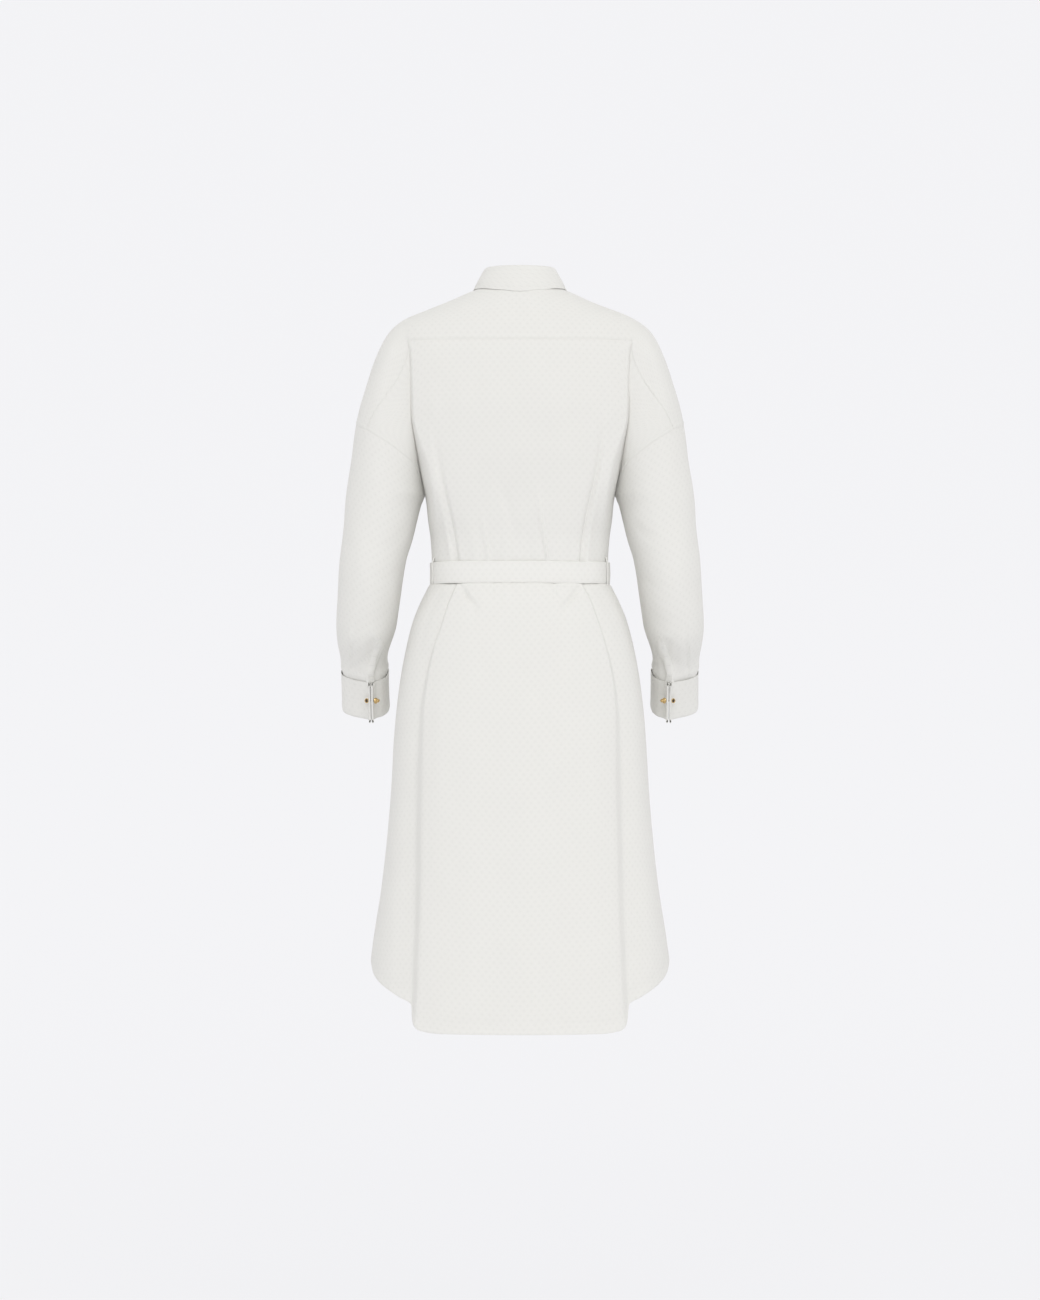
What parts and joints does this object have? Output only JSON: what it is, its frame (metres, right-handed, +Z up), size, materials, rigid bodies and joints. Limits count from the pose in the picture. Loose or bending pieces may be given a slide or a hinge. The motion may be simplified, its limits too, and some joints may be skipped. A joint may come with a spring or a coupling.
{
  "type": "shirt dress",
  "caption": "Long-sleeved white cotton shirt dress with collar, back yoke, button front, double cuffs with studs, tied belt and shirt-tail hem, in its worn form.",
  "frame": {"origin": "centre of the neck opening, level with the neck seam at the nape", "axes": "+Z up, -Y the front of the dress, +X the wearer's left"},
  "size_m": [0.5278, 0.3226, 1.0769],
  "materials": {
    "cotton": "matte white cotton with a small tone-on-tone woven pattern",
    "studs": "polished pale gold",
    "buttons": "pearl white"
  },
  "bodies": {
    "root": {"back_panel": "cotton", "back_yoke": "cotton", "front_left": "cotton", "front_right": "cotton", "placket_left": "cotton", "placket_right": "cotton", "collar_stand": "cotton", "collar_fall": "cotton", "sleeve_left": "cotton", "sleeve_right": "cotton", "sleeve_placket_left": "cotton", "sleeve_placket_right": "cotton", "cuff_left": "cotton", "cuff_right": "cotton", "belt_band": "cotton", "belt_knot": "cotton", "belt_tail_left": "cotton", "belt_tail_right": "cotton", "belt_loop_left": "cotton", "belt_loop_right": "cotton", "cuff_stud_left": "studs", "cuff_stud_right": "studs", "button_collar": "buttons", "button_1": "buttons", "button_2": "buttons", "button_3": "buttons", "button_4": "buttons", "button_5": "buttons", "button_6": "buttons", "button_7": "buttons", "button_8": "buttons", "button_9": "buttons"}
  },
  "joints": []
}
